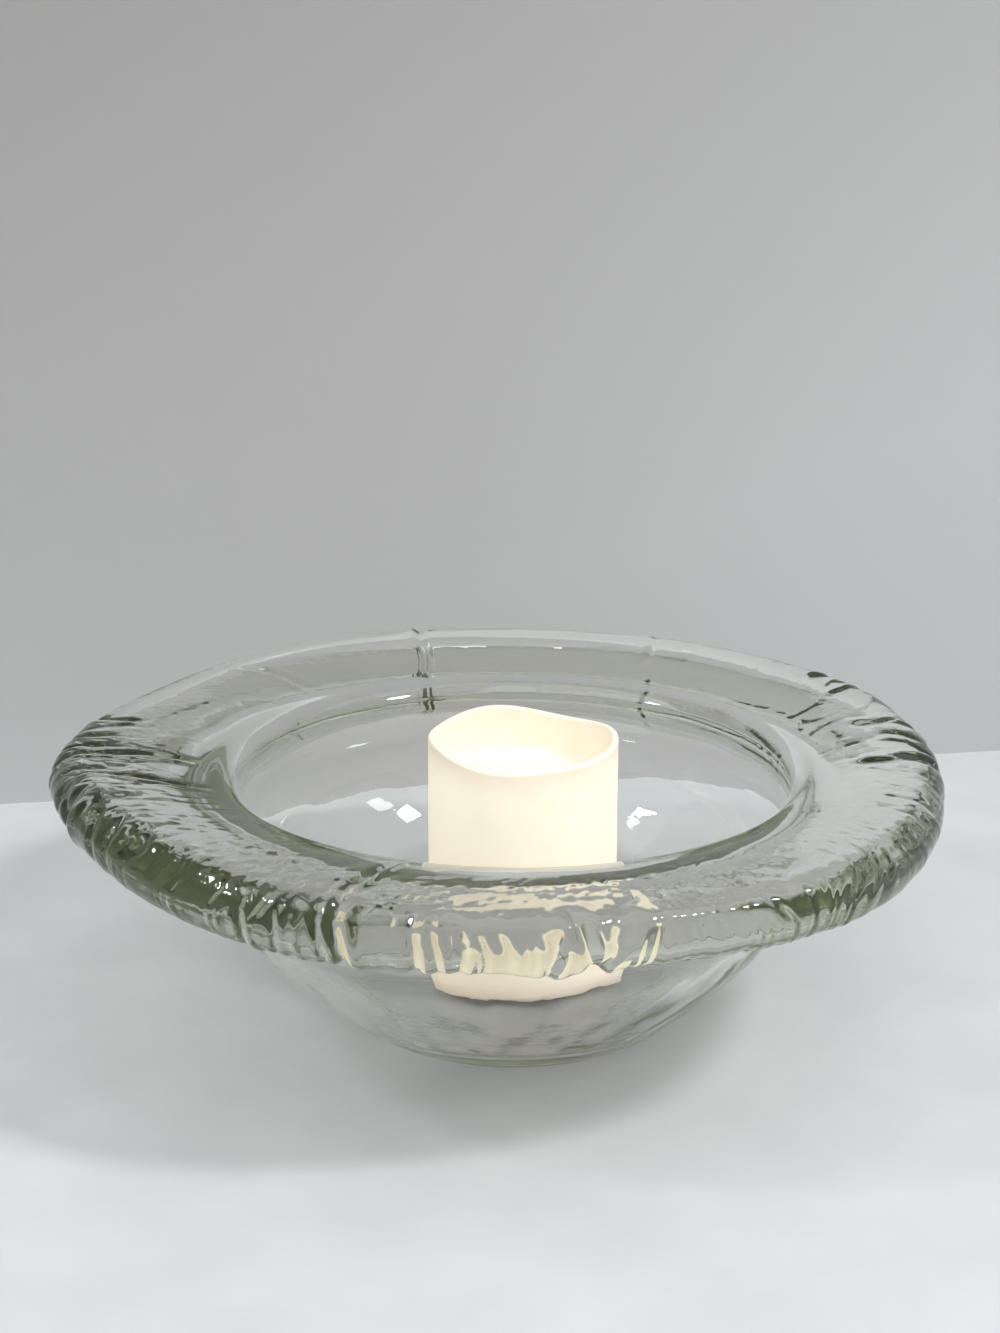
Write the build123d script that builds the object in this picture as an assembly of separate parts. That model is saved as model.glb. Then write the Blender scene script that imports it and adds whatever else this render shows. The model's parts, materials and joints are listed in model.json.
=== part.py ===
from build123d import *
import os
from math import cos, pi, radians, sin, tan

# A candle bowl: a heavy clear glass bowl with a broad rolled rim, and the battery pillar candle that
# stands on its floor. Millimetres, +Z up. The origin is on the table, under the middle of the rim.
# The foot and the hollow are foot_offset to the right of it, because the hand-formed rim is broader
# on its left, and the candle stands candle_offset to the right. The candle is modelled standing at
# its own origin and is then set on the floor of the bowl.

# Glass bowl. Heights are above the table.
rim_radius = 176.0
rim_top_height = 110.5
rim_thickness = 24.0
rim_round_depth = 13.0
crest_radius = 120.9
crest_height = 103.4
crest_round = 12.0
neck_radius = 121.0
neck_round = 14.0
foot_radius = 67.0
foot_offset = 6.7
floor_radius = 50.0
floor_height = 9.0
wall_thickness = 8.5
punt_radius = 52.0
punt_depth = 1.6
rim_wave_radius = 3.0
rim_wave_height = 5.0
candle_offset = 10.4

# Candle shell of wax, with a wavy edge round a sunken top. Heights are above what it stands on.
candle_radius = 38.0
candle_height = 102.0
edge_wave = 2.2
shell_wall = 6.0
shell_edge_wall = 3.4
shell_edge_round = 1.5
recess_depth = 17.0
recess_taper = 1.2
recess_corner = 3.0
deck_thickness = 5.0

# Base plate that closes the shell, its rubber feet and its screws.
feet_stand = 1.0
feet_radius = 4.0
feet_thickness = 1.8
feet_circle_radius = 29.0
plate_radius = 35.0
plate_thickness = 3.0
screw_circle_radius = 27.0
screw_radius = 1.3
screw_length = 11.0
screw_head_radius = 2.4
screw_head_height = 1.5
screw_cross_width = 0.5
screw_cross_depth = 0.7

# Housing that holds the cells and the electronics inside the shell.
housing_wall = 1.8
housing_deck_thickness = 1.6
housing_deck_rise = 4.4
boss_radius = 3.2
boss_height = 16.0
tube_wall = 1.4
ceiling_thickness = 2.0
cap_thickness = 2.0

# Two cells side by side, standing on their ends. Their length is what the candle's height leaves.
cell_radius = 7.1
cell_nub_radius = 2.7
cell_nub_height = 1.0
cell_edge_round = 0.6
cell_spacing = 16.0
contact_gap = 0.2
contact_thickness = 0.4
contact_width = 6.0
contact_length = 9.0
contact_bump_radius = 2.0
contact_bump_height = 0.6
tab_width = 3.0
tab_rise = 3.4
spring_wire_radius = 0.35
spring_height = 3.4
spring_wide_radius = 3.4
spring_narrow_radius = 2.4

# Round twist-off battery door, with two lugs that pass through notches in the plate.
door_radius = 17.2
door_sink = 0.4
lug_reach = 2.0
lug_depth = 3.2
lug_thickness = 1.2
coin_slot_length = 16.0
coin_slot_width = 2.2
coin_slot_depth = 1.0
door_contact_length = 24.0
door_contact_width = 7.0

# Slide switch that stands on the plate, and its knob in the plate's slot.
switch_radius = 25.5
switch_length = 11.6
switch_width = 5.4
switch_height = 4.4
switch_skin = 0.8
knob_length = 3.0
knob_width = 2.0
knob_sink = 0.5
knob_rib_depth = 0.3
shoe_length = 5.4
shoe_width = 3.4
shoe_height = 1.2
switch_step = 2.0

# Circuit board and what is on it.
board_radius = 21.0
board_thickness = 1.6
board_rise = 5.2
head_room = 10.3
post_radius = 2.4
post_offset = 5.2
board_screw_radius = 0.9
board_screw_head_radius = 1.8
board_screw_head_height = 1.1
board_screw_length = 4.6
chip_length = 5.0
chip_width = 4.0
chip_height = 1.5
chip_leg_reach = 1.0
chip_leg_width = 0.42
chip_leg_pitch = 1.27
capacitor_radius = 2.5
capacitor_height = 6.4
resistor_radius = 1.0
resistor_length = 5.0
part_place_radius = 13.0

# Lamp at the top, and the holder that carries it through the wax.
lamp_radius = 2.5
lamp_height = 8.6
lamp_rim_radius = 2.9
lamp_rim_height = 1.0
lamp_stand = 6.0
leg_radius = 0.25
leg_spacing = 2.54
holder_radius = 4.6
holder_flange_radius = 7.0
holder_flange_thickness = 1.0
holder_rise = 1.6

# Wires.
wire_radius = 0.6
wire_reach = 13.1
battery_wire_shares = ((0.43, 0.0), (0.87, 0.24), (1.0, 0.66), (0.69, 1.0), (0.31, 0.86))
switch_wire_shares = (
    (0.10, 1.00, 0.0), (0.10, 1.00, 0.13), (0.13, 0.94, 0.31), (0.095, 0.88, 0.48),
    (0.125, 0.86, 0.65), (0.095, 0.765, 0.79), (0.10, 0.71, 0.90), (0.10, 0.71, 1.0),
)

# Clearances: between fixed pieces, round what slides or turns, and past a face that a cut opens.
fit_gap = 0.3
slide_gap = 0.2
cut_over = 1.0

# Counts, angles and shares.
ring_points = 16
wall_rings = 9
crown_rings = 5
floor_rings = 5
inner_start_share = 0.10
neck_drift_share = 0.63
edge_shares = (0.0, 0.25, 0.5, 0.75, 1.0)
rim_waves = ((2, 0.46, -98.0), (4, 0.51, -135.0), (6, 0.29, 62.0))
rim_swells = ((2, 0.54, 72.0), (3, 0.33, -60.0), (4, 0.23, 86.0), (5, 0.09, -126.0))
edge_waves = ((1, 0.50, 115.0), (2, 0.45, -35.0), (3, 0.30, -50.0), (4, 0.35, 70.0))
door_turn = 40.0
lug_angle = 24.0
notch_angle = 30.0
screw_angles = (90.0, 210.0, 330.0)
feet_angles = (60.0, 180.0, 300.0)
chip_angle = 60.0
capacitor_angle = 200.0
resistor_angle = 285.0
spring_turns = 3
rim_angles = (-90.0, -65.0, -40.0, -15.0, 15.0, 40.0, 65.0, 90.0)
neck_angles = (180.0, 150.0, 120.0, 90.0)
crest_angles = (108.0, 122.0, 136.0, 150.0, 165.0)
edge_angles = (0.0, 22.5, 45.0, 67.5, 90.0)
spring_step = 90.0

# Levels worked out from the sizes above: the candle's, and then the bowl's neck.
plate_top = feet_stand + plate_thickness
screw_seat = feet_stand + screw_head_height + slide_gap
shell_bore = candle_radius - shell_wall
recess_floor = candle_height - recess_depth
deck_underside = recess_floor - deck_thickness
housing_radius = shell_bore - fit_gap
housing_bore = housing_radius - housing_wall
cap_top = deck_underside - fit_gap
housing_top = cap_top - cap_thickness
tube_bore = cell_radius + fit_gap
tube_radius = tube_bore + tube_wall
cell_offset = cell_spacing / 2
contact_top = plate_top + contact_thickness
board_top = housing_top - head_room
board_bottom = board_top - board_thickness
ceiling_top = board_bottom - board_rise
ceiling_bottom = ceiling_top - ceiling_thickness
right_cell_bottom = contact_top + spring_height + contact_gap
left_cell_bottom = contact_top + contact_bump_height + contact_gap
cell_length = ceiling_bottom - contact_thickness - contact_gap - right_cell_bottom
left_cell_top = left_cell_bottom + cell_length
lamp_bottom = recess_floor + lamp_stand - lamp_height
neck_height = rim_top_height - rim_thickness - neck_round
candle_place = Location((candle_offset, 0, floor_height))
standing = (Align.CENTER, Align.CENTER, Align.MIN)


def wave(parts, angle):
    """Sum of cosines: each part is a count round the ring, a share and a phase in degrees."""
    return sum(share * cos(count * angle - radians(phase)) for count, share, phase in parts)


def ring(radius, height, centre=0.0, stray=0.0, stray_parts=(), rise=0.0, rise_parts=()):
    """A closed smooth ring. stray moves it in and out, and rise moves it up and down."""
    points = []
    for step in range(ring_points):
        angle = 2 * pi * step / ring_points
        reach = radius + stray * wave(stray_parts, angle)
        level = height + rise * wave(rise_parts, angle)
        points.append((centre + reach * cos(angle), reach * sin(angle), level))
    return Wire([Edge.make_spline(points, periodic=True)])


def disc(radius, bottom, top, x=0.0, y=0.0):
    """An upright cylinder between two heights."""
    return Pos(x, y, bottom) * Cylinder(radius, top - bottom, align=standing)


def block(length, width, bottom, top, x=0.0, y=0.0):
    """An upright box between two heights."""
    return Pos(x, y, bottom) * Box(length, width, top - bottom, align=standing)


def sector(inner, outer, bottom, top, middle, spread):
    """Part of an upright ring: spread degrees of it, centred on the angle middle."""
    start = middle - spread / 2
    wedge = Cylinder(outer, top - bottom, arc_size=spread, align=(Align.NONE, Align.NONE, Align.MIN))
    return Pos(0, 0, bottom) * Rot(0, 0, start) * wedge - disc(inner, bottom - cut_over, top + cut_over)


def round_places(radius, angles):
    """Centres on a circle, one for each angle."""
    return [(radius * cos(radians(angle)), radius * sin(radians(angle))) for angle in angles]


def outer_wall(share):
    """Radius and height on the bowl's outside: a quarter sine from the foot up to the neck."""
    return foot_radius + (neck_radius - foot_radius) * sin(pi / 2 * share), neck_height * share


def inner_wall(share):
    """Radius and height on the inside, one wall thickness in from the outside."""
    radius, height = outer_wall(share)
    run = (neck_radius - foot_radius) * pi / 2 * cos(pi / 2 * share)
    length = (run**2 + neck_height**2) ** 0.5
    return radius - wall_thickness * neck_height / length, height + wall_thickness * run / length


def arc_points(centre, across, up, angles):
    """Radius and height on an ellipse in the bowl's section, one point for each angle."""
    radius, height = centre
    return [(radius + across * cos(radians(angle)), height + up * sin(radians(angle))) for angle in angles]


def bowl_outline():
    """(radius, height, drift) from the foot's edge, over the rim and down to the edge of the floor.
    drift is 0 where a ring is centred on the foot and 1 where it is centred on the rim."""
    outline = []
    for step in range(wall_rings):
        share = step / wall_rings
        outline.append((*outer_wall(share), neck_drift_share * share))
    neck_centre = (neck_radius + neck_round, neck_height)
    neck = arc_points(neck_centre, neck_round, neck_round, neck_angles)
    outline += [(*point, neck_drift_share) for point in neck]
    lip_radius = rim_radius - rim_round_depth
    half_rim = rim_thickness / 2
    rim = arc_points((lip_radius, rim_top_height - half_rim), rim_round_depth, half_rim, rim_angles)
    outline += [(*point, 1.0) for point in rim]
    crest = arc_points((crest_radius, crest_height - crest_round), crest_round, crest_round, crest_angles)
    crown = lip_radius - crest[0][0]
    fall = rim_top_height - crest[0][1]
    for step in range(1, crown_rings):
        share = step / crown_rings
        outline.append((lip_radius - crown * share, rim_top_height - fall * share**2, 1.0 - share))
    outline += [(*point, 0.0) for point in crest]
    for step in range(wall_rings):
        share = 1.0 - (1.0 - inner_start_share) * step / (wall_rings - 1)
        outline.append((*inner_wall(share), 0.0))
    start_radius, start_height = outline[-1][:2]
    for step in range(1, floor_rings + 1):
        share = step / floor_rings
        outline.append((
            start_radius - (start_radius - floor_radius) * share,
            floor_height + (start_height - floor_height) * (1 - share) ** 3,
            0.0,
        ))
    return outline


def glass_bowl():
    """One piece of glass: a skin ruled through its rings, a flat floor, and a foot with a shallow punt."""
    rings = []
    for radius, height, drift in bowl_outline():
        rings.append(ring(
            radius, height, foot_offset * (1 - drift),
            stray=rim_wave_radius * drift**2, stray_parts=rim_waves,
            rise=rim_wave_height * drift**2, rise_parts=rim_swells,
        ))
    bowl = Part() + Solid.make_loft(rings, ruled=True)
    punt_sphere = (punt_radius**2 + punt_depth**2) / (2 * punt_depth)
    return bowl - Pos(foot_offset, 0, punt_depth - punt_sphere) * Sphere(punt_sphere)


def wax_shell():
    """Wax cup with a wavy edge, bored from below for the housing and through its deck for the lamp."""
    edge = candle_height - shell_edge_round
    straight_top = edge - shell_edge_round
    inside = candle_radius - shell_edge_wall
    profile = [(candle_radius, feet_stand, 0.0)]
    for share in edge_shares:
        profile.append((candle_radius, deck_underside + (straight_top - deck_underside) * share, share**2))
    for angle in edge_angles:
        turn = radians(angle)
        round_in = shell_edge_round * (1 - cos(turn))
        profile.append((candle_radius - round_in, edge + shell_edge_round * sin(turn), 1.0))
    for angle in reversed(edge_angles):
        turn = radians(angle)
        round_in = shell_edge_round * (1 - cos(turn))
        profile.append((inside + round_in, edge + shell_edge_round * sin(turn), 1.0))
    corner_height = recess_floor + recess_corner
    for share in edge_shares:
        height = straight_top + (corner_height - straight_top) * share
        profile.append((inside - recess_taper * share, height, (1 - share) ** 2))
    for angle in edge_angles[1:]:
        turn = radians(angle)
        round_in = recess_corner * (1 - cos(turn))
        profile.append((inside - recess_taper - round_in, corner_height - recess_corner * sin(turn), 0.0))
    rings = [
        ring(radius, height, rise=edge_wave * share, rise_parts=edge_waves)
        for radius, height, share in profile
    ]
    shell = Part() + Solid.make_loft(rings, ruled=True)
    shell -= disc(shell_bore, feet_stand - cut_over, deck_underside)
    shell -= disc(plate_radius + fit_gap, feet_stand - cut_over, plate_top + slide_gap)
    return shell - disc(holder_radius + fit_gap, deck_underside - cut_over, recess_floor + cut_over)


def base_plate():
    """Round plate with the door's opening and notches, the switch slot, screw holes and foot pockets."""
    plate = disc(plate_radius, feet_stand, plate_top)
    plate -= disc(door_radius + fit_gap, feet_stand - cut_over, plate_top + cut_over)
    for side in (0, 180):
        plate -= sector(
            door_radius - fit_gap, door_radius + lug_reach + fit_gap,
            feet_stand - cut_over, plate_top + cut_over, side + 90 + door_turn, notch_angle,
        )
    for x, y in round_places(screw_circle_radius, screw_angles):
        plate -= disc(screw_radius + slide_gap, feet_stand - cut_over, plate_top + cut_over, x, y)
        plate -= disc(screw_head_radius + fit_gap, feet_stand - cut_over, screw_seat, x, y)
    for x, y in round_places(feet_circle_radius, feet_angles):
        plate -= disc(feet_radius + slide_gap, feet_stand - cut_over, feet_thickness, x, y)
    slot_length = knob_length + 2 * switch_step + 2 * slide_gap
    slot_width = knob_width + 2 * slide_gap
    slot = block(slot_length, slot_width, feet_stand - cut_over, plate_top + cut_over, y=-switch_radius)
    return plate - slot


def rubber_feet():
    """Three round feet in the plate's pockets."""
    places = round_places(feet_circle_radius, feet_angles)
    return [disc(feet_radius, 0, feet_thickness, x, y) for x, y in places]


def cross_screw(shank_radius, length, head_radius, head_height):
    """Pan-head screw, head up, with the underside of its head at height zero."""
    screw = disc(head_radius, 0, head_height)
    screw = fillet(screw.edges().sort_by(Axis.Z)[-1], head_height / 3)
    screw += disc(shank_radius, -length, 0)
    cross_bottom = head_height - screw_cross_depth
    for turn in (0, 90):
        arm = block(head_radius * 1.2, screw_cross_width, cross_bottom, head_height + cut_over)
        screw -= Rot(0, 0, turn) * arm
    return screw


def base_screws():
    """Three screws that hold the plate to the housing, heads down."""
    screw = Rot(180, 0, 0) * cross_screw(screw_radius, screw_length, screw_head_radius, screw_head_height)
    return [Pos(x, y, screw_seat) * screw for x, y in round_places(screw_circle_radius, screw_angles)]


def core_housing():
    """Cup with two tubes for the cells, a deck and three screw bosses below, and board posts above."""
    cup = disc(housing_radius, plate_top, housing_top)
    cup -= disc(housing_bore, plate_top - cut_over, housing_top + cut_over)
    deck_bottom = plate_top + housing_deck_rise
    cup += disc(housing_bore + housing_wall / 2, deck_bottom, deck_bottom + housing_deck_thickness)
    for side in (-1, 1):
        cup += disc(tube_radius, deck_bottom, ceiling_top, x=side * cell_offset)
    for side in (-1, 1):
        cup -= disc(tube_bore, plate_top, ceiling_bottom, x=side * cell_offset)
        cup -= block(
            contact_thickness + 2 * slide_gap, tab_width + 2 * slide_gap,
            ceiling_bottom - cut_over, ceiling_top + cut_over, x=side * tab_place(),
        )
    deck_top = deck_bottom + housing_deck_thickness
    cup -= block(
        switch_length + 2 * fit_gap, switch_width + 2 * fit_gap,
        deck_bottom - cut_over, deck_top + cut_over, y=-switch_radius,
    )
    for x, y in round_places(screw_circle_radius, screw_angles):
        boss = disc(boss_radius, plate_top, plate_top + boss_height, x, y)
        cup += boss & disc(housing_radius, 0, housing_top)
        screw_end = screw_seat + screw_length + slide_gap
        cup -= disc(screw_radius + slide_gap / 4, plate_top - cut_over, screw_end, x, y)
    for x, y in board_posts():
        cup += disc(post_radius, ceiling_top, board_bottom, x, y)
        screw_end = board_top - board_screw_length - slide_gap
        cup -= disc(board_screw_radius + slide_gap / 4, screw_end, board_bottom + cut_over, x, y)
    return cup


def tab_place():
    """How far a contact's tab stands from the axis."""
    return cell_offset + contact_length / 2 + contact_thickness / 2


def board_posts():
    """Centres of the two posts under the board."""
    return [(-cell_offset, post_offset), (cell_offset, -post_offset)]


def core_cap():
    """Lid of the housing, with a hole for the lamp's holder."""
    skirt_radius = housing_bore - fit_gap
    skirt_bottom = housing_top - cap_thickness
    cap = disc(housing_radius, housing_top, cap_top) + disc(skirt_radius, skirt_bottom, housing_top)
    cap -= disc(skirt_radius - housing_wall, skirt_bottom - cut_over, housing_top)
    return cap - disc(holder_radius + slide_gap, housing_top - cut_over, cap_top + cut_over)


def lamp_holder():
    """Collar that carries the lamp up through the wax, with two holes for its legs."""
    holder = disc(holder_radius, housing_top, lamp_bottom + holder_rise)
    holder += disc(holder_flange_radius, housing_top - holder_flange_thickness, housing_top)
    holder -= disc(lamp_rim_radius + slide_gap, lamp_bottom, lamp_bottom + holder_rise + cut_over)
    for side in (-1, 1):
        holder -= disc(leg_radius + slide_gap, board_top, lamp_bottom + cut_over, x=side * leg_spacing / 2)
    return holder


def lamp_bulb():
    """Light-emitting diode: a rimmed cylinder with a domed top."""
    dome_centre = lamp_bottom + lamp_height - lamp_radius
    bulb = disc(lamp_rim_radius, lamp_bottom, lamp_bottom + lamp_rim_height)
    bulb += disc(lamp_radius, lamp_bottom, dome_centre)
    return bulb + Pos(0, 0, dome_centre) * Sphere(lamp_radius)


def lamp_legs():
    """The lamp's two legs, down to the board."""
    return [disc(leg_radius, board_top, lamp_bottom, x=side * leg_spacing / 2) for side in (-1, 1)]


def control_board():
    """Round board on the two posts."""
    board = disc(board_radius, board_bottom, board_top)
    for x, y in board_posts():
        board -= disc(board_screw_radius + slide_gap, board_bottom - cut_over, board_top + cut_over, x, y)
    return board


def board_screws():
    """Two screws that hold the board down."""
    screw = cross_screw(
        board_screw_radius, board_screw_length, board_screw_head_radius, board_screw_head_height,
    )
    return [Pos(x, y, board_top) * screw for x, y in board_posts()]


def control_chip():
    """Eight-legged timer chip."""
    centre_x, centre_y = round_places(part_place_radius, (chip_angle,))[0]
    body_bottom = board_top + chip_leg_width / 2
    chip = block(chip_length, chip_width, body_bottom, body_bottom + chip_height)
    chip = chamfer(chip.edges().group_by(Axis.Z)[-1], chip_leg_width / 2)
    leg_top = body_bottom + chip_leg_width / 2
    for step in range(4):
        leg_x = (step - 1.5) * chip_leg_pitch
        for side in (-1, 1):
            leg_y = side * (chip_width / 2 + chip_leg_reach / 2)
            chip += block(chip_leg_width, chip_leg_reach, board_top, leg_top, leg_x, leg_y)
    return Pos(centre_x, centre_y, 0) * chip


def board_capacitor():
    """Small round capacitor, standing."""
    x, y = round_places(part_place_radius, (capacitor_angle,))[0]
    can = disc(capacitor_radius, board_top, board_top + capacitor_height, x, y)
    return fillet(can.edges().group_by(Axis.Z)[-1], capacitor_radius / 6)


def board_resistor():
    """Lying resistor with swollen ends and two short legs bent down to the board."""
    x, y = round_places(part_place_radius, (resistor_angle,))[0]
    level = board_top + resistor_radius + fit_gap
    body = Rot(0, 90, 0) * Cylinder(resistor_radius * 0.85, resistor_length)
    for side in (-1, 1):
        end = side * resistor_length / 2
        body += Pos(end * 0.72, 0, 0) * Rot(0, 90, 0) * Cylinder(resistor_radius, resistor_length / 4)
        body += Pos(end + side * leg_radius, 0, 0) * Rot(0, 90, 0) * Cylinder(leg_radius, leg_radius * 4)
        body += disc(leg_radius, board_top - level, 0, x=end + side * 2 * leg_radius)
    return Pos(x, y, level) * body


def cell(bottom, nub_up):
    """AA cell standing on its end, nub up or down, with its lowest face at height bottom."""
    can = disc(cell_radius, 0, cell_length - cell_nub_height)
    can = fillet(can.edges().group_by(Axis.Z)[-1] + can.edges().group_by(Axis.Z)[0], cell_edge_round)
    can += disc(cell_nub_radius, cell_length - cell_nub_height, cell_length)
    if nub_up:
        return Pos(0, 0, bottom) * can
    return Pos(0, 0, bottom + cell_length) * Rot(180, 0, 0) * can


def coil_spring(bottom, top, lower_radius, upper_radius, x):
    """Cone of wire between two heights: arcs of a quarter turn, each tangent to the one before."""
    steps = round(spring_turns * 360 / spring_step)
    low = bottom + spring_wire_radius
    rise = top - spring_wire_radius - low
    points = []
    for step in range(steps + 1):
        share = step / steps
        angle = radians(step * spring_step)
        radius = lower_radius + (upper_radius - lower_radius) * share
        points.append(Vector(radius * cos(angle), radius * sin(angle), low + rise * share))
    chord = points[1] - points[0]
    flat_chord = Vector(chord.X, chord.Y, 0).length
    tangent = Vector(0, 1, cos(radians(spring_step / 2)) * chord.Z / flat_chord)
    arcs = []
    for start, end in zip(points, points[1:]):
        arcs.append(Edge.make_tangent_arc(start, tangent, end))
        tangent = arcs[-1] % 1
    path = Wire(arcs)
    section = Plane(origin=path @ 0, z_dir=path % 0) * Circle(spring_wire_radius)
    return Pos(x, 0, 0) * sweep(section, path=path)


def bay_spring():
    """Spring over the left cell's flat end."""
    return coil_spring(left_cell_top + contact_gap, ceiling_bottom - contact_thickness,
                       spring_narrow_radius, spring_wide_radius, -cell_offset)


def door_spring():
    """Spring under the right cell's flat end, carried by the door."""
    top = contact_top + spring_height
    return coil_spring(contact_top, top, spring_wide_radius, spring_narrow_radius, cell_offset)


def bay_contact(side):
    """Flat contact under the bay's ceiling, with a tab that stands up through it."""
    level = ceiling_bottom - contact_thickness
    plate = block(contact_length, contact_width, level, ceiling_bottom, x=side * cell_offset)
    tab = block(contact_thickness, tab_width, level, ceiling_top + tab_rise, x=side * tab_place())
    return plate + tab


def battery_door():
    """Twist-off door: a disc with a coin slot below and two lugs above."""
    door = disc(door_radius, feet_stand + door_sink, plate_top)
    door -= block(coin_slot_length, coin_slot_width, feet_stand, feet_stand + door_sink + coin_slot_depth)
    lug_bottom = plate_top + slide_gap
    lug_top = lug_bottom + lug_thickness
    inner = door_radius - lug_depth
    for middle in (90, 270):
        door += sector(inner, door_radius, plate_top, lug_bottom, middle, lug_angle)
        door += sector(inner, door_radius + lug_reach, lug_bottom, lug_top, middle, lug_angle)
    return door


def door_contact():
    """Strip on the door that joins the two cells, with a bump under the left one's nub."""
    strip = block(door_contact_length, door_contact_width, plate_top, contact_top)
    return strip + disc(contact_bump_radius, contact_top, contact_top + contact_bump_height, x=-cell_offset)


def switch_body():
    """Slide switch: a box that is open below for the knob's shoe."""
    body = block(switch_length, switch_width, plate_top, plate_top + switch_height, y=-switch_radius)
    room_length = switch_length - 2 * switch_skin
    room_width = switch_width - 2 * switch_skin
    room_top = plate_top + shoe_height + 2 * slide_gap
    return body - block(room_length, room_width, plate_top - cut_over, room_top, y=-switch_radius)


def switch_knob():
    """Knob at the left end of the plate's slot, with a shoe that slides on the plate inside the switch."""
    shoe_bottom = plate_top + slide_gap
    knob_bottom = feet_stand + knob_sink
    shoe = block(shoe_length, shoe_width, shoe_bottom, shoe_bottom + shoe_height, y=-switch_radius)
    stem = block(knob_length, knob_width, knob_bottom, shoe_bottom, y=-switch_radius)
    for step in (-1, 0, 1):
        stem -= block(
            knob_rib_depth, knob_width + cut_over, knob_bottom - cut_over, knob_bottom + knob_rib_depth,
            x=step * 3 * knob_rib_depth, y=-switch_radius,
        )
    return Pos(-switch_step, 0, 0) * (shoe + stem)


def wire_along(points):
    """Round wire along straight runs joined by the largest arcs that they allow. Prints its radii."""
    spots = [Vector(*point) for point in points]
    runs = [after - before for before, after in zip(spots, spots[1:])]
    radii = []
    for run, next_run in zip(runs, runs[1:]):
        half_turn = radians(run.get_angle(next_run)) / 2
        radii.append(0.45 * min(run.length, next_run.length) / tan(half_turn))
    path = FilletPolyline(*spots, radius=radii)
    section = Plane(origin=path @ 0, z_dir=path % 0) * Circle(wire_radius)
    tube = sweep(section, path=path)
    print("wire radii", [round(radius, 1) for radius in radii], "length", round(path.length, 1),
          "volume share", round(tube.volume / (pi * wire_radius**2 * path.length), 4))
    return tube


def battery_wire(side):
    """Wire from a contact's tab out past the board's edge and back down onto the board."""
    start = tab_place() + contact_thickness / 2
    level = ceiling_top + tab_rise / 2
    route = [(start, level)]
    route += [(start + wire_reach * out, level + wire_reach * up) for out, up in battery_wire_shares]
    route.append((route[-1][0], board_top))
    return wire_along([(side * x, 0, z) for x, z in route])


def switch_wires():
    """Two wires from the switch up beside the cells to the underside of the board."""
    start = plate_top + switch_height
    rise = board_bottom - start
    wires = []
    for side in (-1, 1):
        route = [
            (side * switch_radius * across, -switch_radius * out, start + rise * up)
            for across, out, up in switch_wire_shares
        ]
        wires.append(wire_along(route))
    return wires


candle_pieces = {
    "wax_shell": wax_shell,
    "base_plate": base_plate,
    "rubber_feet": rubber_feet,
    "base_screws": base_screws,
    "core_housing": core_housing,
    "core_cap": core_cap,
    "lamp_holder": lamp_holder,
    "lamp_bulb": lamp_bulb,
    "lamp_legs": lamp_legs,
    "control_board": control_board,
    "board_screws": board_screws,
    "control_chip": control_chip,
    "board_capacitor": board_capacitor,
    "board_resistor": board_resistor,
    "left_battery": lambda: Pos(-cell_offset, 0, 0) * cell(left_cell_bottom, nub_up=False),
    "right_battery": lambda: Pos(cell_offset, 0, 0) * cell(right_cell_bottom, nub_up=True),
    "bay_spring": bay_spring,
    "negative_contact": lambda: bay_contact(-1),
    "positive_contact": lambda: bay_contact(1),
    "battery_door": battery_door,
    "door_contact": door_contact,
    "door_spring": door_spring,
    "switch_body": switch_body,
    "switch_knob": switch_knob,
    "red_wire": lambda: battery_wire(1),
    "black_wire": lambda: battery_wire(-1),
    "switch_wires": switch_wires,
}

os.makedirs("parts", exist_ok=True)
export_step(glass_bowl(), "parts/glass_bowl.step")
for name, make in candle_pieces.items():
    made = make()
    solids = [solid for piece in (made if isinstance(made, list) else [made]) for solid in piece.solids()]
    export_step(candle_place * Compound(solids), f"parts/{name}.step")
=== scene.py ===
import json
from math import atan, cos, hypot, pi, radians, sin

import bpy
import numpy as np
from mathutils import Matrix, Vector


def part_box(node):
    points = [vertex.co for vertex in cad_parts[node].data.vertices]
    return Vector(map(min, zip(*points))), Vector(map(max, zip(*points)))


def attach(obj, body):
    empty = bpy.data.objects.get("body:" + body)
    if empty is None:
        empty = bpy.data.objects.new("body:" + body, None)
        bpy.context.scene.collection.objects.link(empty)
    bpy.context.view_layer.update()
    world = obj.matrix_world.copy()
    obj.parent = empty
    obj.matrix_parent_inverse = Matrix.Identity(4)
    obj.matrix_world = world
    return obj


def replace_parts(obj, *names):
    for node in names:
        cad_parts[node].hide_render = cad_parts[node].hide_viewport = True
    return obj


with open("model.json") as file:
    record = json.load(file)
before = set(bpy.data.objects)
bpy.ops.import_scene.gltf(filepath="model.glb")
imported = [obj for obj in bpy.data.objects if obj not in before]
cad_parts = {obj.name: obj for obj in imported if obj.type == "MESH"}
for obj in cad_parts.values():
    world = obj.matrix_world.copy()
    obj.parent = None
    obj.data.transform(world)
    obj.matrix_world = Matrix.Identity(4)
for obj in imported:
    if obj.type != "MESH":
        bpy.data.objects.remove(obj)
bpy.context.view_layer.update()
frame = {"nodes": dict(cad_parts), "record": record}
mm = 0.001

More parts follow.
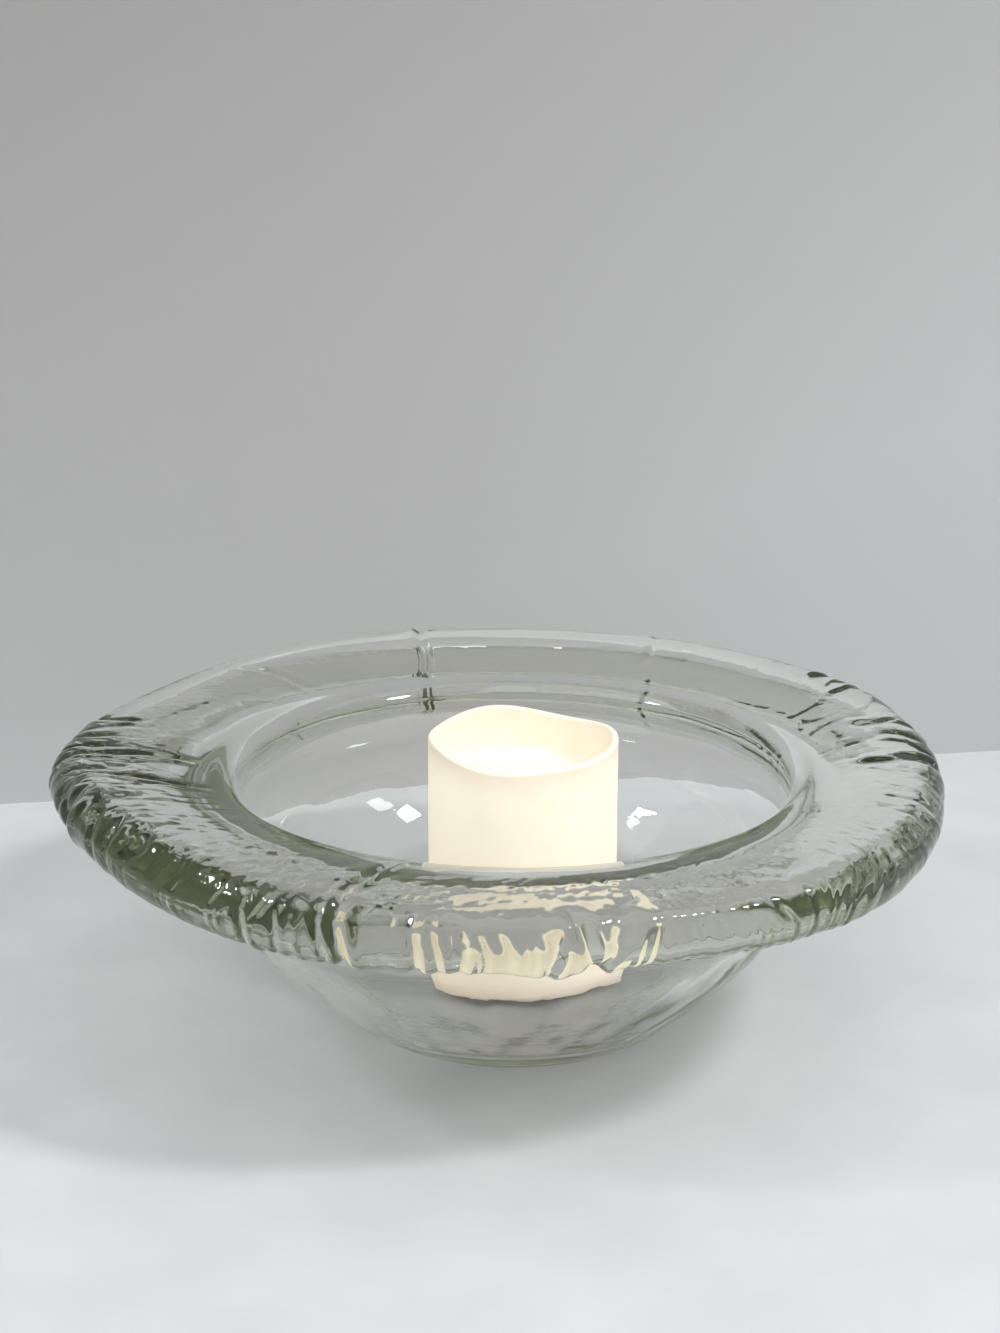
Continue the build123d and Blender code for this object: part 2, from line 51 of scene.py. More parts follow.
# The glass bowl, as the solid has it. Heights are above the table.
rim_radius = 176.0 * mm
rim_top_height = 110.5 * mm
rim_thickness = 24.0 * mm
rim_round_depth = 13.0 * mm
crest_radius = 120.9 * mm
crest_height = 103.4 * mm
crest_round = 12.0 * mm
neck_radius = 121.0 * mm
neck_round = 14.0 * mm
foot_radius = 67.0 * mm
foot_offset = 6.7 * mm
foot_round = 1.6 * mm
floor_radius = 50.0 * mm
floor_height = 9.0 * mm
wall_thickness = 8.5 * mm
punt_radius = 52.0 * mm
punt_depth = 1.6 * mm
rim_wave_radius = 3.0 * mm
rim_wave_height = 5.0 * mm
inner_start_share = 0.10
neck_drift_share = 0.63
rim_waves = ((2, 0.46, -98.0), (4, 0.51, -135.0), (6, 0.29, 62.0))
rim_swells = ((2, 0.54, 72.0), (3, 0.33, -60.0), (4, 0.23, 86.0), (5, 0.09, -126.0))
neck_height = rim_top_height - rim_thickness - neck_round
half_rim = rim_thickness / 2
lip_radius = rim_radius - rim_round_depth

# Columns of the glass mesh: round the rim, round the walls, and round the floor and the foot.
columns = {"rim": 1440, "wall": 720, "floor": 360}

# The candle's shell, as the solid has it. Heights are above the bowl's floor.
wax_low, wax_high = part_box("wax_shell")
candle_x = (wax_low.x + wax_high.x) / 2
candle_radius = (wax_high.x - wax_low.x) / 2
candle_height = 102.0 * mm
candle_foot = 1.0 * mm
edge_wave = 2.2 * mm
edge_waves = ((1, 0.50, 115.0), (2, 0.45, -35.0), (3, 0.30, -50.0), (4, 0.35, 70.0))
edge_round = 1.5 * mm
edge_wall = 3.4 * mm
recess_depth = 17.0 * mm
recess_taper = 1.2 * mm
recess_corner = 3.0 * mm
deck_thickness = 5.0 * mm
shell_wall = 6.0 * mm
plate_seat_radius = 35.3 * mm
plate_seat_height = 4.2 * mm
holder_hole_radius = 4.9 * mm
recess_floor = candle_height - recess_depth
candle_columns = 256
# The last rings of the outline, in the lamp's hole and the bore, which stay smooth.
hidden_rings = 5
lamp_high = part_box("lamp_bulb")[1]

# The photograph's camera. Pixels are of a picture of 1000 by 1333.
image_width_pixels = 1000.0
image_height_pixels = 1333.0
focal_pixels = 2133.4
lip_pixel = (497.0, 766.5)
lip_distance = 850.0 * mm
look_down = radians(19.27)
camera_roll = radians(0.11)
sensor_width_mm = 36.0

# The table's top lies a hair under the foot's face, so that the renderer can tell them apart.
table_gap = 0.1 * mm
table_reach = 12.0

# The line where the backdrop stands, by two places on it: behind the bowl's left and its right.
backdrop_left = (-256.0 * mm, 222.0 * mm)
backdrop_right = (275.0 * mm, 309.0 * mm)
backdrop_reach = 2.0
backdrop_height = 1.2
# Its painted shade: pale up to one height and dark from another, and higher towards the right.
backdrop_pale_to = 0.10
backdrop_painted_dark_from = 0.55
backdrop_painted_shade_tilt = 0.35

# The sky's level by the upward share of a direction: 0 is level or below, and 1 straight up.
sky_levels = ((0.0, 0.70), (0.3, 0.60), (0.45, 0.50), (0.62, 0.70), (0.75, 1.25), (1.0, 1.60))
# Two square lamps: place, side and power in watts. Both shine towards one place in the bowl.
window_lamp = ((1.56, -0.78, 1.92), 0.32, 28.0)
far_window_lamp = ((-1.40, -0.40, 1.36), 0.16, 5.0)
lamps_aim = (0, 0, 0.05)
# The candle's own light: power in watts, colour, radius, and how far over the lamp it stands.
glow_power = 0.0009
glow_color = (1.0, 0.90, 0.68)
glow_radius = 2.5 * mm
glow_rise = 3.5 * mm


def wave(parts, angle):
    """Sum of cosines: each part is a count round the ring, a share and a phase in degrees."""
    return sum(share * np.cos(count * angle - radians(phase)) for count, share, phase in parts)


def near(value, middle, width):
    """1 at the middle, falling smoothly to almost 0 at two widths."""
    return np.exp(-(((value - middle) / width) ** 2))


def rise(value, start, end):
    """0 up to start, 1 from end on, and smooth between them."""
    share = np.clip((value - start) / (end - start), 0.0, 1.0)
    return share * share * (3.0 - 2.0 * share)


def away(angles, degrees):
    """How far each angle is from a direction, from -180 to 180 degrees."""
    return (np.degrees(angles) - degrees + 180.0) % 360.0 - 180.0


def ripple(seed, around, along, angles, runs):
    """Smooth noise from -1 to 1: around cells round the ring, and along is a cell's length over
    it."""
    span = int((runs.max() - runs.min()) / along) + 3
    grid = np.random.default_rng(seed).uniform(-1.0, 1.0, (around, span))
    across, over = angles / (2 * pi) * around, (runs - runs.min()) / along
    column, row = np.floor(across).astype(int), np.floor(over).astype(int)
    across, over = rise(across - column, 0.0, 1.0), rise(over - row, 0.0, 1.0)
    left, right = column % around, (column + 1) % around
    low = grid[left, row] * (1 - across) + grid[right, row] * across
    high = grid[left, row + 1] * (1 - across) + grid[right, row + 1] * across
    return low * (1 - over) + high * over


def outer_wall(share):
    """Radius and height on the bowl's outside: a quarter sine from the foot up to the neck."""
    return foot_radius + (neck_radius - foot_radius) * sin(pi / 2 * share), neck_height * share


def inner_wall(share):
    """Radius and height on the inside, one wall thickness in from the outside."""
    radius, height = outer_wall(share)
    run = (neck_radius - foot_radius) * pi / 2 * cos(pi / 2 * share)
    length = hypot(run, neck_height)
    return radius - wall_thickness * neck_height / length, height + wall_thickness * run / length


def arc_points(centre, across, up, start, end, steps):
    """Radius and height on an ellipse in the bowl's section, from one angle to another."""
    angles = np.radians(np.linspace(start, end, steps))
    return [(centre[0] + across * cos(angle), centre[1] + up * sin(angle)) for angle in angles]


def bowl_outline():
    """(radius, height, drift, part) of each ring, from the middle of the punt over the rim to the
    middle of the floor. drift is 0 where a ring is centred on the foot and 1 where on the rim."""
    rows = []
    punt_sphere = (punt_radius**2 + punt_depth**2) / (2 * punt_depth)
    for radius in np.linspace(mm, punt_radius, 12):
        drop = punt_sphere - (punt_sphere**2 - radius**2) ** 0.5
        rows.append((radius, punt_depth - drop, 0.0, "floor"))
    foot_centre = (foot_radius - foot_round, foot_round)
    foot = arc_points(foot_centre, foot_round, foot_round, -90, -10, 5)
    ring = np.linspace(punt_radius, foot[0][0], 4)[1:-1]
    rows += [(radius, 0.0, 0.0, "floor") for radius in ring]
    rows += [(*point, 0.0, "wall") for point in foot]
    for share in np.linspace(0.0, 1.0, 30)[1:-1]:
        rows.append((*outer_wall(share), neck_drift_share * share, "wall"))
    neck = arc_points((neck_radius + neck_round, neck_height), neck_round, neck_round, 180, 90, 6)
    rows += [(*point, neck_drift_share, "rim") for point in neck]
    flat = lip_radius - neck[-1][0]
    for share in np.linspace(0.0, 1.0, 12)[1:-1]:
        drift = neck_drift_share + (1.0 - neck_drift_share) * share
        rows.append((neck[-1][0] + flat * share, neck[-1][1], drift, "rim"))
    rim_centre = (lip_radius, rim_top_height - half_rim)
    rim = arc_points(rim_centre, rim_round_depth, half_rim, -90, 90, 36)
    rows += [(*point, 1.0, "rim") for point in rim]
    crest_centre = (crest_radius, crest_height - crest_round)
    crest = arc_points(crest_centre, crest_round, crest_round, 108, 165, 10)
    crown, fall = lip_radius - crest[0][0], rim_top_height - crest[0][1]
    for share in np.linspace(0.0, 1.0, 30)[1:-1]:
        height = rim_top_height - fall * share**2
        rows.append((lip_radius - crown * share, height, 1.0 - share, "rim"))
    rows += [(*point, 0.0, "rim") for point in crest]
    for share in np.linspace(1.0, inner_start_share, 30):
        rows.append((*inner_wall(share), 0.0, "wall"))
    start_radius, start_height = rows[-1][:2]
    for share in np.linspace(0.0, 1.0, 10)[1:]:
        height = floor_height + (start_height - floor_height) * (1 - share) ** 3
        rows.append((start_radius + (floor_radius - start_radius) * share, height, 0.0, "wall"))
    floor = np.linspace(floor_radius, mm, 10)[1:]
    return rows + [(radius, floor_height, 0.0, "floor") for radius in floor]


# Creases of the rim that run across it. Each has its direction in degrees, its half width in
# degrees, its depth, where it starts and ends over the rim's section (0 is the outermost line, and
# more is further up and inwards), and how many degrees it leans over 10 mm of that way.
rim_folds = (
    (-107.5, 0.8, 2.0 * mm, -18 * mm, 58 * mm, -0.25),
    (-109.4, 0.5, 0.8 * mm, -18 * mm, 30 * mm, -0.15),
    (-98.9, 0.6, 1.3 * mm, -19 * mm, 14 * mm, 0.05),
    (-96.6, 0.5, 0.7 * mm, -19 * mm, 12 * mm, -0.4),
    (-93.4, 0.5, 0.6 * mm, -19 * mm, 10 * mm, 0.3),
    (-83.6, 0.7, 1.2 * mm, -19 * mm, 6 * mm, 0.3),
    (-80.2, 0.9, 1.6 * mm, -19 * mm, 18 * mm, -0.9),
    (-77.2, 0.8, 1.1 * mm, -19 * mm, 20 * mm, 1.0),
    (-114.6, 0.4, 0.6 * mm, -17 * mm, 6 * mm, 0.2),
    (-119.0, 0.5, 0.7 * mm, -14 * mm, 12 * mm, -0.3),
    (101.0, 0.7, 1.9 * mm, 0 * mm, 64 * mm, 0.9),
    (138.0, 0.8, 0.9 * mm, 26 * mm, 60 * mm, -0.5),
    (167.0, 1.0, 1.3 * mm, -6 * mm, 34 * mm, 0.5),
    (176.0, 0.9, 1.0 * mm, -12 * mm, 22 * mm, 0.9),
    (189.0, 1.1, 1.6 * mm, -2 * mm, 58 * mm, -0.7),
    (197.0, 1.0, 1.5 * mm, 16 * mm, 60 * mm, 0.4),
    (204.0, 1.4, 1.6 * mm, -14 * mm, 16 * mm, 0.8),
    (30.0, 0.8, 1.3 * mm, -10 * mm, 26 * mm, 0.4),
    (24.0, 0.7, 1.0 * mm, 4 * mm, 34 * mm, -0.6),
    (5.0, 0.9, 1.2 * mm, -4 * mm, 40 * mm, 0.8),
    (-7.0, 0.9, 1.2 * mm, 2 * mm, 46 * mm, -0.6),
    (64.0, 0.7, 0.7 * mm, 10 * mm, 50 * mm, -0.4),
)
# The drip under the front of the rim, and the step that the front fold leaves beside it.
drip_angle = -84.0
drip_half_width = 4.5
drip_depth = 2.6 * mm
step_angle = -107.5
step_height = 0.9 * mm

# Broad swellings of the bowl, and hollows where the height is less than 0. Each has its direction
# and half width in degrees, its height, and its place and half width over the section.
swellings = (
    (-95.0, 60.0, 4.0 * mm, -67 * mm, 12 * mm),
    (85.0, 85.0, -2.4 * mm, 65 * mm, 10 * mm),
    (85.0, 85.0, 1.6 * mm, 98 * mm, 14 * mm),
    (85.0, 85.0, 3.0 * mm, -58 * mm, 12 * mm),
)
# How far the rim's outer face leans out at its lower edge and in at its upper one: a direction and
# a half width in degrees, and the lean. Less than 0 leans the other way.
face_leans = ((-124.0, 28.0, 1.7 * mm), (-36.0, 18.0, 1.5 * mm), (-66.0, 12.0, -1.1 * mm))
face_half_height = 10 * mm


def carve(angles, way):
    """How far the glass stands out from its plain outline. way is the length along the section from
    the rim's outermost line, more upwards and inwards and less down and under. The first number of
    each ripple is its seed."""
    # Where each kind of relief lies: 1 inside its own stretch of the section or directions.
    rim = rise(way, -26 * mm, -14 * mm) * (1 - rise(way, 46 * mm, 66 * mm))
    face = rise(way, -19 * mm, -11 * mm) * (1 - rise(way, 8 * mm, 16 * mm))
    top = rise(way, 6 * mm, 14 * mm) * (1 - rise(way, 36 * mm, 50 * mm))
    outer_top = rise(way, -10 * mm, 0 * mm) * (1 - rise(way, 18 * mm, 44 * mm))
    under = rise(way, -78 * mm, -52 * mm) * (1 - rise(way, -34 * mm, -22 * mm))
    ends = near(away(angles, 196), 0, 24) + 0.7 * near(away(angles, 4), 0, 24)
    front = near(away(angles, -95), 0, 55)
    front_left = near(away(angles, -122), 0, 42)
    front_right = near(away(angles, -48), 0, 26)
    drift = angles + radians(2.6) * ripple(3, 24, 16 * mm, angles, way)

    # Lumps of the rim, the deep creases at its left and right ends, and fine ones in patches.
    out = 0.45 * mm * rim * ripple(11, 17, 34 * mm, angles, way)
    out += 0.28 * mm * rim * ripple(12, 41, 18 * mm, drift, way)
    creases = 1.0 - np.abs(ripple(13, 74, 42 * mm, drift, way))
    out -= 2.2 * mm * outer_top * np.clip(ends, 0.03, 1.0) * creases**6
    fine_creases = 1.0 - np.abs(ripple(14, 150, 12 * mm, drift, way))
    patches = rise(ripple(21, 23, 20 * mm, angles, way), -0.1, 0.6)
    out -= 0.6 * mm * rim * patches * np.clip(0.10 + ends, 0.0, 1.0) * fine_creases**8
    # Upright streaks on the outer face, its lean and its two soft edges.
    teeth = ripple(15, 290, 26 * mm, drift, way) + 0.5 * ripple(16, 610, 15 * mm, drift, way)
    out += 0.32 * mm * face * (0.25 + front + 0.5 * front_right) * teeth
    lean = sum(size * near(away(angles, degrees), 0, spread)
               for degrees, spread, size in face_leans)
    out -= lean * face * np.clip(way / face_half_height, -1.0, 1.0)
    upper_edge = face_half_height + 1.2 * mm * ripple(24, 60, 20 * mm, angles, way)
    edges = near(way, upper_edge, 4.5 * mm) + 0.7 * near(way, -11 * mm, 4.5 * mm)
    out += (0.3 + 0.5 * front) * mm * edges
    # The grain of the top, and the slow waves of the body, of the underside and of the hollow.
    grain = ripple(17, 300, 3.2 * mm, drift, way) + 0.6 * ripple(18, 560, 1.8 * mm, drift, way)
    out += 0.36 * mm * top * (0.12 + 0.90 * front_left + 0.25 * front_right) * grain
    out += 0.20 * mm * (1 - rim) * rise(way, 0.0, 80 * mm) * ripple(19, 9, 60 * mm, angles, way)
    out += 0.30 * mm * under * ripple(22, 36, 16 * mm, angles, way)
    for degrees, spread, height, middle, width in swellings:
        out += height * near(away(angles, degrees), 0, spread) * near(way, middle, width)
    inside = rise(way, 72 * mm, 92 * mm)
    out += 0.16 * mm * inside * ripple(25, 72, 14 * mm, drift, way)
    out += 0.14 * mm * under * front * ripple(23, 150, 9 * mm, drift, way)
    # The folds across the rim, the step beside the front one, and the drip under the front.
    for degrees, half_width, depth, start, end, turn in rim_folds:
        wander = 0.5 * ripple(20, 20, 9 * mm, angles, way)
        line = away(angles, degrees) - turn * way / (10 * mm) - wander
        starts = rise(way, start - 4 * mm, start + 3 * mm)
        ends_at = 1 - rise(way, end - 5 * mm, end + 3 * mm)
        ridge = 0.45 * near(line, 2.2 * half_width, half_width)
        out -= depth * starts * ends_at * (near(line, 0, half_width) - ridge)
    from_step = away(angles, step_angle)
    out -= step_height * top * rise(from_step, 0.0, 1.5) * (1 - rise(from_step, 10.0, 34.0))
    drip = near(away(angles, drip_angle), 0, drip_half_width) * near(way, -17 * mm, 6 * mm)
    return out + drip_depth * drip - 0.5 * mm * rim * (1 - drip)


def mesh_object(name, points, faces, body, material):
    """A smooth mesh that rides on a body and takes one material."""
    mesh = bpy.data.meshes.new(name)
    mesh.from_pydata(points, [], faces)
    mesh.polygons.foreach_set("use_smooth", [True] * len(mesh.polygons))
    mesh.materials.append(material)
    mesh.validate()
    piece = bpy.data.objects.new(name, mesh)
    bpy.context.scene.collection.objects.link(piece)
    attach(piece, body)
    return piece


def stitch(first, count, next_first, next_count):
    """Faces between two rings. Where one has half the columns of the other, they are triangles."""
    if count == next_count:
        return [(first + k, first + (k + 1) % count, next_first + (k + 1) % count, next_first + k)
                for k in range(count)]
    turned = count < next_count
    if turned:
        first, count, next_first, next_count = next_first, next_count, first, count
    faces = []
    for k in range(next_count):
        start, middle, end = (first + (2 * k + step) % count for step in range(3))
        low, high = next_first + k, next_first + (k + 1) % next_count
        faces += [(start, middle, low), (middle, high, low), (middle, end, high)]
    return [face[::-1] for face in faces] if turned else faces


def glass_bowl(material):
    """The bowl's skin: rings along the outline, carved with the wrinkles of hand-made glass."""
    rows = bowl_outline()
    radii, heights, drifts = (np.array([row[k] for row in rows]) for k in range(3))
    way = np.concatenate([[0.0], np.cumsum(np.hypot(np.diff(radii), np.diff(heights)))])
    way -= way[np.argmax(radii)]
    slope_r, slope_z = np.gradient(radii), np.gradient(heights)
    length = np.hypot(slope_r, slope_z)
    points, faces, firsts, counts = [], [], [], []
    all_angles = np.linspace(0.0, 2 * pi, columns["rim"], endpoint=False)
    stand_out = carve(all_angles[None, :], way[:, None])
    for k, (radius, height, drift, part) in enumerate(rows):
        step = columns["rim"] // columns[part]
        angles, out = all_angles[::step], stand_out[k, ::step]
        if part == "floor":
            out = 0.0 * out
        reach = radius + rim_wave_radius * drift**2 * wave(rim_waves, angles)
        level = height + rim_wave_height * drift**2 * wave(rim_swells, angles)
        reach = reach + out * slope_z[k] / length[k]
        level = np.maximum(level - out * slope_r[k] / length[k], 0.0)
        firsts.append(len(points))
        counts.append(len(angles))
        centre = foot_offset * (1 - drift)
        points += list(zip(centre + reach * np.cos(angles), reach * np.sin(angles), level))
    for k in range(len(rows) - 1):
        faces += stitch(firsts[k], counts[k], firsts[k + 1], counts[k + 1])
    faces.append(tuple(range(counts[0]))[::-1])
    faces.append(tuple(range(firsts[-1], firsts[-1] + counts[-1])))
    piece = mesh_object("glass_bowl_skin", points, faces, "bowl", material)
    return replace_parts(piece, "glass_bowl")


def candle_outline():
    """(radius, height, share of the edge's wave) of each ring, from the foot up the outside, over
    the edge, down the recess, through the lamp's hole and down the bore."""
    straight_top = candle_height - 2 * edge_round
    inside = candle_radius - edge_wall
    corner_top = recess_floor + recess_corner
    bore = candle_radius - shell_wall
    underside = recess_floor - deck_thickness
    rows = [(candle_radius - mm, candle_foot, 0.0), (candle_radius, candle_foot + mm, 0.0)]
    side = np.linspace(candle_foot + mm, underside, 26)[1:-1]
    rows += [(candle_radius, height, 0.0) for height in side]
    for share in np.linspace(0.0, 1.0, 14):
        rows.append((candle_radius, underside + (straight_top - underside) * share, share**2))
    edge_height = candle_height - edge_round
    edges = ((candle_radius - edge_round, 0, 90), (inside + edge_round, 90, 180))
    for radius, start, end in edges:
        arc = arc_points((radius, edge_height), edge_round, edge_round, start, end, 7)
        rows += [(*point, 1.0) for point in arc]
    for share in np.linspace(0.0, 1.0, 12):
        height = straight_top + (corner_top - straight_top) * share
        rows.append((inside - recess_taper * share, height, (1 - share) ** 2))
    corner_radius = inside - recess_taper - recess_corner
    corner = arc_points((corner_radius, corner_top), recess_corner, recess_corner, 0, -90, 7)
    rows += [(*point, 0.0) for point in corner[1:]]
    deck = np.linspace(corner_radius, holder_hole_radius, 14)[1:]
    rows += [(radius, recess_floor, 0.0) for radius in deck]
    rows += [(holder_hole_radius, underside, 0.0), (bore, underside, 0.0)]
    rows += [(bore, plate_seat_height, 0.0), (plate_seat_radius, plate_seat_height, 0.0)]
    rows.append((plate_seat_radius, candle_foot, 0.0))
    return rows


def wax_shell(material):
    """The candle's wax cup, with the unevenness of cast wax on its outside and sunken top."""
    rows = candle_outline()
    angles = np.linspace(0.0, 2 * pi, candle_columns, endpoint=False)
    radii, heights, shares = (np.array([row[k] for row in rows]) for k in range(3))
    way = np.concatenate([[0.0], np.cumsum(np.hypot(np.diff(radii), np.diff(heights)))])
    slope_r, slope_z = np.gradient(radii), np.gradient(heights)
    length = np.hypot(slope_r, slope_z) + 1e-12
    seen = len(rows) - hidden_rings
    uneven = 0.16 * mm * (ripple(31, 9, 14 * mm, angles[None, :], way[:, None]) - 1.0)
    points, faces = [], []
    for k in range(len(rows)):
        out = uneven[k] if k < seen else 0.0 * angles
        reach = radii[k] + out * slope_z[k] / length[k]
        level = heights[k] - out * slope_r[k] / length[k]
        level = level + edge_wave * shares[k] * wave(edge_waves, angles)
        across, along = candle_x + reach * np.cos(angles), reach * np.sin(angles)
        points += list(zip(across, along, floor_height + level))
    for k in range(len(rows)):
        next_first = (k + 1) % len(rows) * candle_columns
        faces += stitch(k * candle_columns, candle_columns, next_first, candle_columns)
    piece = mesh_object("wax_candle_cup", points, faces, "candle", material)
    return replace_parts(piece, "wax_shell")


class Shader:
    """A new material, with its Principled shader and short ways to add nodes to it."""

    def __init__(self, name, inputs):
        self.material = bpy.data.materials.new(name)
        self.material.use_nodes = True
        self.nodes, self.links = self.material.node_tree.nodes, self.material.node_tree.links
        self.main = self.nodes["Principled BSDF"]
        self.place = self.add("ShaderNodeTexCoord")
        self.set(self.main, inputs)

    def set(self, node, inputs):
        """Sets sockets by name: a value is written, and an output of another node is linked."""
        for name, value in inputs.items():
            if isinstance(value, bpy.types.NodeSocket):
                self.links.new(value, node.inputs[name])
            else:
                node.inputs[name].default_value = value

    def add(self, kind, inputs=(), **settings):
        node = self.nodes.new(kind)
        for name, value in settings.items():
            setattr(node, name, value)
        self.set(node, dict(inputs))
        return node

    def noise(self, size, detail=3.0, stretch=(1.0, 1.0, 1.0)):
        """Noise with lumps of about that size in metres, on the piece's own coordinates."""
        inputs = {"Vector": self.place.outputs["Object"], "Scale": stretch}
        mapping = self.add("ShaderNodeMapping", inputs)
        inputs = {"Vector": mapping.outputs[0], "Scale": 1.0 / size, "Detail": detail}
        return self.add("ShaderNodeTexNoise", inputs).outputs["Fac"]

    def ramp(self, value, stops):
        """A colour for each place on the ramp: stops are (place, colour)."""
        node = self.add("ShaderNodeValToRGB", {"Fac": value})
        while len(node.color_ramp.elements) < len(stops):
            node.color_ramp.elements.new(1.0)
        for element, (place, color) in zip(node.color_ramp.elements, stops):
            element.position = place
            element.color = (*color, 1.0)
        return node.outputs["Color"]

    def spread(self, value, low, high, from_low=0.3, from_high=0.7):
        """Brings a value from one range to another."""
        inputs = {"Value": value, "From Min": from_low, "From Max": from_high,
                  "To Min": low, "To Max": high}
        return self.add("ShaderNodeMapRange", inputs, clamp=True).outputs["Result"]

    def bump(self, height, distance, strength=1.0):
        """Raises the surface by that distance where the height is 1."""
        inputs = {"Height": height, "Distance": distance, "Strength": strength}
        self.set(self.main, {"Normal": self.add("ShaderNodeBump", inputs).outputs["Normal"]})

    def maths(self, operation, first, second):
        """The result of one operation on two values or outputs."""
        return self.add("ShaderNodeMath", {0: first, 1: second}, operation=operation).outputs[0]


def set_indexed(shader, node, values):
    """Sets sockets by their number."""
    for index, value in enumerate(values):
        if isinstance(value, bpy.types.NodeSocket):
            shader.links.new(value, node.inputs[index])
        else:
            node.inputs[index].default_value = value


def clear_glass():
    """Thick clear glass with faint ripples, which turns olive grey where it is deep."""
    glass = Shader("clear_glass", {
        "Base Color": (1.0, 1.0, 1.0, 1.0), "Roughness": 0.0, "IOR": 1.5,
        "Transmission Weight": 1.0,
    })
    glass.bump(glass.noise(7 * mm, 2.0), 0.05 * mm)
    depth = glass.add("ShaderNodeVolumeAbsorption", {
        "Color": (0.57, 0.60, 0.44, 1.0), "Density": 10.5})
    glass.links.new(depth.outputs[0], glass.nodes["Material Output"].inputs["Volume"])
    return glass.material


def glowing_wax():
    """Ivory wax with a painted glow for the lamp inside: strongest on its outside at the lamp's
    height, weaker at the foot and the edge, and weakest in the sunken top, which the lamp lights
    too."""
    wax = Shader("glowing_wax", {
        "Roughness": 0.5, "Subsurface Weight": 0.25, "Subsurface Scale": 6 * mm,
        "Subsurface Radius": (1.0, 0.7, 0.4),
    })
    mottle = wax.noise(9 * mm, 4.0)
    wax.set(wax.main, {"Base Color": wax.ramp(mottle, (
        (0.3, (0.83, 0.77, 0.65)), (0.7, (0.87, 0.81, 0.70))))})
    axes = wax.add("ShaderNodeSeparateXYZ", {"Vector": wax.place.outputs["Object"]})
    height = wax.spread(axes.outputs["Z"], 0.0, 1.0, floor_height, floor_height + candle_height)
    # The painted glow: its colour by height, and its strength by how far out it is from the
    # candle's axis.
    wax.set(wax.main, {"Emission Color": wax.ramp(height, (
        (0.0, (0.66, 0.52, 0.38)), (0.30, (0.86, 0.70, 0.50)), (0.55, (0.94, 0.80, 0.57)),
        (0.86, (1.0, 0.95, 0.70)), (0.94, (0.80, 0.70, 0.52)), (1.0, (0.40, 0.31, 0.24))))})
    across = wax.maths("SUBTRACT", axes.outputs["X"], candle_x)
    squares = wax.maths("ADD", wax.maths("MULTIPLY", across, across),
                        wax.maths("MULTIPLY", axes.outputs["Y"], axes.outputs["Y"]))
    reach = wax.maths("SQRT", squares, 0.0)
    wax.set(wax.main, {"Emission Strength": wax.spread(
        reach, 0.12, 0.42, candle_radius - edge_wall, candle_radius - edge_wall / 4)})
    wax.bump(wax.noise(2.5 * mm, 3.0), 0.05 * mm)
    return wax.material


def lit_lamp():
    """The lamp's clear body, glowing warm."""
    lamp = Shader("lit_lamp", {
        "Base Color": (1.0, 0.93, 0.78, 1.0), "Roughness": 0.25, "Emission Strength": 1.2,
    })
    lamp.set(lamp.main, {"Emission Color": lamp.ramp(lamp.noise(1.5 * mm, 1.0), (
        (0.3, (1.0, 0.80, 0.48)), (0.7, (1.0, 0.88, 0.62))))})
    return lamp.material


def moulded(name, color, roughness=0.4, grain=0.4 * mm, shade=0.9):
    """Moulded plastic or rubber: a fine grain, and a tone that varies a little."""
    plastic = Shader(name, {"IOR": 1.46})
    tone = plastic.noise(12 * mm, 4.0)
    dark = tuple(channel * shade for channel in color)
    plastic.set(plastic.main, {
        "Base Color": plastic.ramp(tone, ((0.3, dark), (0.7, color))),
        "Roughness": plastic.spread(plastic.noise(5 * mm), roughness - 0.06, roughness + 0.08),
    })
    plastic.bump(plastic.noise(grain, 2.0), 0.02 * mm)
    return plastic.material


def metal(name, color, roughness=0.3, scratch=(1.0, 1.0, 12.0)):
    """Plated metal with fine drawn lines and a few dull spots."""
    plating = Shader(name, {"Metallic": 1.0})
    dull = tuple(channel * 0.8 for channel in color)
    plating.set(plating.main, {
        "Base Color": plating.ramp(plating.noise(3 * mm, 5.0), ((0.35, dull), (0.6, color))),
        "Roughness": plating.spread(
            plating.noise(1.2 * mm, 3.0, scratch), roughness - 0.1, roughness + 0.12),
    })
    plating.bump(plating.noise(0.5 * mm, 2.0, scratch), 0.01 * mm)
    return plating.material


def cell_jacket():
    """A cell's printed sleeve in two plain tones, with its steel ends showing."""
    low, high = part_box("left_battery")
    jacket = Shader("cell_jacket", {"Roughness": 0.28, "Coat Weight": 0.4, "Coat Roughness": 0.1})
    axes = jacket.add("ShaderNodeSeparateXYZ", {"Vector": jacket.place.outputs["Object"]})
    height = jacket.spread(axes.outputs["Z"], 0.0, 1.0, low.z, high.z)
    band = jacket.ramp(height, (
        (0.0, (0.66, 0.66, 0.67)), (0.03, (0.05, 0.055, 0.065)), (0.30, (0.55, 0.33, 0.12)),
        (0.97, (0.66, 0.66, 0.67))))
    band.node.color_ramp.interpolation = "CONSTANT"
    jacket.set(jacket.main, {"Base Color": band})
    jacket.bump(jacket.noise(2 * mm), 0.02 * mm)
    return jacket.material


def board_green():
    """Solder mask with lighter tracks under it."""
    board = Shader("board_green", {"Roughness": 0.3, "Coat Weight": 0.5, "Coat Roughness": 0.15})
    cells = board.add("ShaderNodeTexVoronoi", {
        "Vector": board.place.outputs["Object"], "Scale": 1.0 / (3.2 * mm)},
        distance="MANHATTAN", feature="DISTANCE_TO_EDGE")
    board.set(board.main, {"Base Color": board.ramp(cells.outputs["Distance"], (
        (0.04, (0.10, 0.36, 0.18)), (0.09, (0.03, 0.20, 0.09))))})
    board.bump(board.noise(0.8 * mm), 0.02 * mm)
    return board.material


